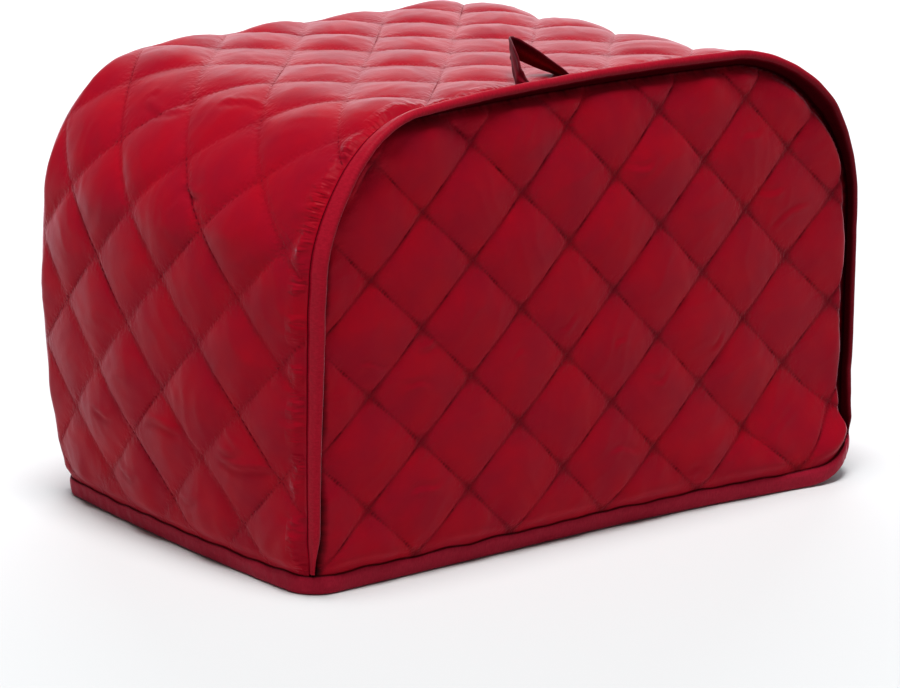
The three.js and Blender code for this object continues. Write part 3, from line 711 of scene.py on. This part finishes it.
# Its inside is counted 3 mm further in, so that the painted shade at the bound seam stays narrow
gusset = shape(mesh, gusset_points(flat[:, 0], flat[:, 1], is_lining(flat), 0), flat,
               loft=loft, inside=to_front + 3, along=flat[:, 1], gathered=np.ones(len(flat)))
cover(gusset, satins, np.minimum(to_front, to_back) < GUSSET_SHADED_REACH)
lines = stitch_lines(GUSSET_DIAMOND, (FRONT_Y + STITCH_START, HEM_HEIGHT + STITCH_START),
                     (BACK_Y - STITCH_START, ARCH_LENGTH - HEM_HEIGHT - STITCH_START))
gusset_sewing = sew("gusset_quilting", lines,
                    lambda p: gusset_points(p[:, 0], p[:, 1], np.zeros(len(p), bool), p[:, 2]))
gusset_sewing.data.materials.append(thread)
for piece in (gusset, gusset_sewing):
    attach(piece, "root")
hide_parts("gusset")

# Front binding: one length of woven polyester tape, folded over the raw edges of the front seam and sewn
# through all of them. It stands up from the seam, leans outwards, and ends in the hem tape.
BINDING_BOTTOM = 8.4
BINDING_HALF_WIDTH = 8
BINDING_STEP = 0.8


def binding_points(around, along, lining):
    """around goes from -1 on the panel's side over the fold to 1 on the gusset's."""
    x, z, nx, nz = arch_at(along)
    taper = fin_taper(x, z)
    half = np.where(lining, 0.85, 1.35)
    # It stands tallest round the upper right corner
    reach = np.where(lining, 6.8, 7.4) + 1.5 * np.exp(-((x - 122) / 14) ** 2)
    bend = np.clip(np.abs(around) / 0.3, 0, 1) * math.pi / 2
    down_side = np.clip((np.abs(around) - 0.3) / 0.7, 0, 1)
    out = reach - half * (1 - np.cos(bend)) - (reach - half - 0.5) * down_side
    across = half * np.sin(bend)
    plump = np.sin(math.pi * np.clip((np.abs(around) - 0.1) / 0.9, 0, 1))
    wavy = 0.15 * ripples(along / 3.1, around * 1.5, 91) + 0.2 * ripples(along / 17, around, 92)
    across = across + np.where(lining, 0, (0.3 + wavy) * plump * np.clip(taper, 0.4, 1))
    across = np.sign(around) * across
    out = out + np.where(lining, 0, 0.25 * ripples(along / 9, 0 * along, 93))
    away, past = fin(out * taper, across * mix(0.75, 1, taper), x)
    return drape(x + away * nx, FRONT_Y - past, z + away * nz)


def tape_material(name, dark, light, sheen):
    # Polyester binding tape, woven and folded: a little duller than the satin, ribbed across. Its ribs are
    # 0.3 mm apart and drawn 0.7 mm apart, so that they can show
    material, tree, flat = bare_material(name)
    ribs = add_node(tree, "Mapping", inputs={"Vector": flat, "Scale": (0.5, 1.4, 1)})
    weave = add_node(tree, "TexNoise", {"noise_dimensions": "2D"}, {
        "Vector": ribs.outputs["Vector"], "Scale": 1, "Detail": 3, "Roughness": 0.6})
    bump = add_node(tree, "Bump", inputs={
        "Height": weave.outputs["Fac"], "Distance": 0.0001, "Strength": 0.4})
    dye = add_node(tree, "ValToRGB", inputs={"Fac": weave.outputs["Fac"]})
    dye.color_ramp.elements[0].position = 0.3
    dye.color_ramp.elements[0].color = hex_colour(dark)
    dye.color_ramp.elements[1].position = 0.7
    dye.color_ramp.elements[1].color = hex_colour(light)
    # Painted shade: the dye is darkened by the piece's attribute, down to 0.08 where it is 0
    seam = add_node(tree, "Attribute", {"attribute_name": "open"})
    depth = add_node(tree, "MapRange", inputs={"Value": seam.outputs["Fac"], "To Min": 0.08})
    shade = add_node(tree, "VectorMath", {"operation": "SCALE"}, {
        "Vector": dye.outputs["Color"], "Scale": depth.outputs["Result"]})
    surface = add_node(tree, "BsdfPrincipled", inputs={
        "Base Color": shade.outputs["Vector"], "Roughness": 0.5, "Specular IOR Level": min(0.04, sheen),
        "Sheen Weight": sheen, "Sheen Roughness": 0.3, "Sheen Tint": hex_colour("#ffb4c8"),
        "Normal": bump.outputs["Normal"]})
    add_node(tree, "OutputMaterial", inputs={"Surface": surface.outputs["BSDF"]})
    return material


tape_woven = tape_material("polyester_tape_woven", "#960e22", "#a81429", sheen=0.3)
tape_shaded_copy = tape_material("polyester_tape_shaded_copy", "#960e22", "#a81429", sheen=0.0)
mesh = flat_cloth("front_binding_tape", (-BINDING_HALF_WIDTH, BINDING_BOTTOM),
                  (BINDING_HALF_WIDTH, ARCH_LENGTH - BINDING_BOTTOM), BINDING_STEP)
flat = points_of(mesh)
around = flat[:, 0] / BINDING_HALF_WIDTH
# Painted shade on its panel side, as the shade of the fold, most of all up the right side, and on its edge at
# the gusset
open_share = np.where(around < 0, blend(1 - np.abs(around), 0.42, 1), blend(1 - around, 0, 0.2))
open_share *= mix(1, 0.4, blend(arch_at(flat[:, 1])[0], 100, 138))
binding = shape(mesh, binding_points(around, flat[:, 1], is_lining(flat)), flat, open=open_share)
# Its edges in the seams wear the tape's copy without sheen, as painted shade
cover(binding, [tape_woven, tape_shaded_copy], (around < -0.45) | (around > 0.74))
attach(binding, "root")
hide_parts("front_binding")

# Hem binding: woven polyester tape folded round the bottom edge of panels and gusset and sewn through. It
# runs all the way round, and its ends meet at the back.
HEM_END_GAP = 0.5
HEM_HALF_WIDTH = 9
HEM_STEP = 0.9
HEM_LENGTH = 4 * SEAM_HALF_WIDTH + 2 * (BACK_Y - FRONT_Y)


def hem_ring(along):
    """Place on the straight hem's rectangle and the way out of it, from the middle of the back and round."""
    width, depth = 2 * SEAM_HALF_WIDTH, BACK_Y - FRONT_Y
    stops = np.cumsum([0, width / 2, depth, width, depth, width / 2])
    x = np.interp(along, stops, [0, SEAM_HALF_WIDTH, SEAM_HALF_WIDTH, -SEAM_HALF_WIDTH, -SEAM_HALF_WIDTH, 0])
    y = np.interp(along, stops, [BACK_Y, BACK_Y, FRONT_Y, FRONT_Y, BACK_Y, BACK_Y])
    near = 0.3
    nx = 1.0 * (np.abs(x - SEAM_HALF_WIDTH) < near) - 1.0 * (np.abs(x + SEAM_HALF_WIDTH) < near)
    ny = 1.0 * (np.abs(y - BACK_Y) < near) - 1.0 * (np.abs(y - FRONT_Y) < near)
    return x, y, nx, ny


def hem_points(around, along, lining):
    """around goes from -1 inside over the fold at the bottom to 1 outside."""
    x, y, nx, ny = hem_ring(along)
    half = np.where(lining, 0.75, mix(1.6, 1.0, blend(np.abs(around), 0.8, 1)))
    bottom = np.where(lining, 0.9, 0)
    bend = np.clip(np.abs(around) / 0.22, 0, 1) * math.pi / 2
    up = bottom + np.minimum(half, 1.2) * (1 - np.cos(bend))
    up = up + (HEM_HEIGHT - bottom - 1.2) * np.clip((np.abs(around) - 0.22) / 0.78, 0, 1)
    # Its upper edges run a little up and down
    up = up + 0.8 * ripples(along / 13, 0 * along, 73) * np.clip((np.abs(around) - 0.3) / 0.7, 0, 1)
    plump = np.sin(math.pi * np.clip(np.abs(around), 0, 1))
    wavy = 0.2 * ripples(along / 3.3, around * 1.5, 71) + 0.3 * ripples(along / 12, around, 72)
    away = np.sign(around) * (half * np.sin(bend) + np.where(lining, 0, (0.3 + wavy) * plump))
    return drape(x + away * nx, y + away * ny, up)


mesh = flat_cloth("hem_binding_tape", (-HEM_HALF_WIDTH, HEM_END_GAP / 2),
                  (HEM_HALF_WIDTH, HEM_LENGTH - HEM_END_GAP / 2), HEM_STEP)
flat = points_of(mesh)
around = flat[:, 0] / HEM_HALF_WIDTH
# Painted shade along its upper outer edge, under the swelling cloth, where it also wears the tape's copy
# without sheen
hem = shape(mesh, hem_points(around, flat[:, 1], is_lining(flat)), flat, open=blend(1 - around, 0, 0.1))
hem_tape = tape_material("polyester_hem_tape_woven", "#94142a", "#a41c32", sheen=0.55)
cover(hem, [hem_tape, tape_shaded_copy], flat[:, 0] > 8.4)
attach(hem, "root")
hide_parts("hem_binding")

# Loop: a short length of narrow polyester tape, folded double and sewn along its edges. It is bent back on
# itself, and both its ends are sewn in behind the binding at the top of the front seam.
LOOP_X = -21.5
LOOP_WIDTH = 9.0
LOOP_LENGTH = 65
LOOP_STEP = 0.45
# Middle of the tape: right, back and up of the middle of the loop's foot, the tape's turn in degrees, and the
# share of its width that shows (its ends are sewn in pinched together)
LOOP_PATH = np.array([
    (-12.6, -1.5, 3.2, 74, 0.3), (-12.9, 0.8, 4.1, 78, 0.5), (-12.9, 3.4, 5.4, 80, 0.8),
    (-10.6, 7.5, 8.0, 83, 1), (-7.4, 13, 10.6, 88, 1), (-3.7, 18.5, 12.1, 95, 1),
    (-1.1, 22.3, 12.6, 98, 1), (0.6, 23.6, 12.6, 100, 1), (1.9, 21.6, 12.2, 104, 1),
    (3.6, 17.6, 10.6, 111, 1), (5.9, 12.6, 8.3, 119, 1), (8.2, 7.7, 6.0, 127, 0.9),
    (10.3, 3.4, 3.9, 134, 0.8), (11.6, 0.8, 2.5, 142, 0.6), (12, -1.5, 1.8, 150, 0.4)])


def loop_points(across, share, lining):
    """across goes from -1 to 1 over the tape's width, and share from 0 to 1 along it."""
    place = share * (len(LOOP_PATH) - 1)
    k = np.clip(np.floor(place), 0, len(LOOP_PATH) - 2).astype(int)
    t = (place - k)[:, None]
    padded = np.vstack([2 * LOOP_PATH[0] - LOOP_PATH[1], LOOP_PATH, 2 * LOOP_PATH[-1] - LOOP_PATH[-2]])
    p0, p1, p2, p3 = padded[k], padded[k + 1], padded[k + 2], padded[k + 3]
    # A smooth curve through the path's points, and the way that it runs
    slope = p2 - p0
    square = 2 * p0 - 5 * p1 + 4 * p2 - p3
    cube = 3 * p1 - p0 - 3 * p2 + p3
    at = 0.5 * (2 * p1 + slope * t + square * t**2 + cube * t**3)
    run = 0.5 * (slope + 2 * square * t + 3 * cube * t**2)[:, :3]
    run /= np.linalg.norm(run, axis=1)[:, None]
    turn = np.radians(at[:, 3])
    wide = np.stack([np.cos(turn), 0 * turn, np.sin(turn)], axis=1)
    wide -= run * (wide * run).sum(axis=1)[:, None]
    wide /= np.linalg.norm(wide, axis=1)[:, None]
    normal = np.cross(wide, run)
    edge = np.clip((np.abs(across) - 0.75) / 0.25, 0, 1)
    thick = 0.45 * np.sqrt(1 - 0.8 * edge**2) + 0.12 * np.cos(across * math.pi * 2) * (1 - edge)
    aside = wide * (across * at[:, 4] * LOOP_WIDTH / 2)[:, None]
    points = at[:, :3] + aside + normal * np.where(lining, -thick, thick)[:, None]
    return drape(LOOP_X + points[:, 0], FRONT_Y + points[:, 1], SEAM_HEIGHT + points[:, 2])


mesh = flat_cloth("loop_tape", (-LOOP_WIDTH / 2, 0), (LOOP_WIDTH / 2, LOOP_LENGTH), LOOP_STEP)
flat = points_of(mesh)
across = flat[:, 0] / (LOOP_WIDTH / 2)
# A painted highlight along the middle of the tape, where it is folded, darker towards its edges
loop = shape(mesh, loop_points(across, flat[:, 1] / LOOP_LENGTH, is_lining(flat)), flat,
             open=mix(0.4, 1, np.exp(-(flat[:, 0] / 1.3) ** 2)))
loop.data.materials.append(tape_material("polyester_loop_tape_woven", "#740a1e", "#8a1026", sheen=0.1))
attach(loop, "root")
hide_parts("loop_tab")

# Studio: a floor of pale matt paper, broad daylight from almost straight above, a little from the left and
# the front, and a faint cool light from behind on the right.
bm = bmesh.new()
bmesh.ops.create_grid(bm, x_segments=1, y_segments=1, size=6)
floor_mesh = bpy.data.meshes.new("floor")
bm.to_mesh(floor_mesh)
bm.free()
floor = bpy.data.objects.new("floor", floor_mesh)
bpy.context.scene.collection.objects.link(floor)
paper = bpy.data.materials.new("white_paper")
paper.use_nodes = True
paper_surface = paper.node_tree.nodes["Principled BSDF"]
paper_surface.inputs["Base Color"].default_value = hex_colour("#d5d7d8")
paper_surface.inputs["Roughness"].default_value = 0.9
floor.data.materials.append(paper)

world = bpy.data.worlds.new("studio")
world.use_nodes = True
world.node_tree.nodes["Background"].inputs["Color"].default_value = (1, 1, 1, 1)
world.node_tree.nodes["Background"].inputs["Strength"].default_value = 0.12
bpy.context.scene.world = world

daylight = bpy.data.lights.new("window", "SUN")
daylight.energy = 3.95
daylight.angle = math.radians(26)
window = bpy.data.objects.new("window", daylight)
window.rotation_euler = Vector((-0.1, -0.1, 0.985)).to_track_quat("Z", "Y").to_euler()
bpy.context.scene.collection.objects.link(window)

SOFTBOX_PLACE = Vector((1.3, 1.6, 0.8))
SOFTBOX_TARGET = Vector((0, 0, 0.15))
softbox = bpy.data.lights.new("backdrop", "AREA")
softbox.color = (0.9, 0.95, 1)
softbox.size = 1.6
softbox.energy = 30
backdrop = bpy.data.objects.new("backdrop", softbox)
backdrop.location = SOFTBOX_PLACE
backdrop.rotation_euler = (SOFTBOX_TARGET - SOFTBOX_PLACE).to_track_quat("-Z", "Y").to_euler()
bpy.context.scene.collection.objects.link(backdrop)

# Camera: where the photograph was taken from, fitted to the seams, the hem and the crossings of the quilting.
CAMERA_AZIMUTH = math.radians(-39.5059)
CAMERA_ELEVATION = math.radians(14.6459)
CAMERA_ROLL = math.radians(0.3253)
CAMERA_DISTANCE = 1.928213
CAMERA_TARGET = Vector((0.00477, 0.001772, 0.059197))
FOCAL_PIXELS = 4662.54
PHOTO_WIDTH = 900
SENSOR_WIDTH = 36
camera_data = bpy.data.cameras.new("camera")
camera_data.sensor_width = SENSOR_WIDTH
camera_data.lens = FOCAL_PIXELS / PHOTO_WIDTH * SENSOR_WIDTH
camera = bpy.data.objects.new("camera", camera_data)
bpy.context.scene.collection.objects.link(camera)
towards_camera = Vector((
    math.sin(CAMERA_AZIMUTH) * math.cos(CAMERA_ELEVATION),
    -math.cos(CAMERA_AZIMUTH) * math.cos(CAMERA_ELEVATION),
    math.sin(CAMERA_ELEVATION)))
camera.location = CAMERA_TARGET + towards_camera * CAMERA_DISTANCE
camera.rotation_euler = towards_camera.to_track_quat("Z", "Y").to_matrix().to_euler()
camera.rotation_euler.rotate_axis("Z", CAMERA_ROLL)
bpy.context.scene.camera = camera
bpy.context.scene.view_settings.view_transform = "Standard"
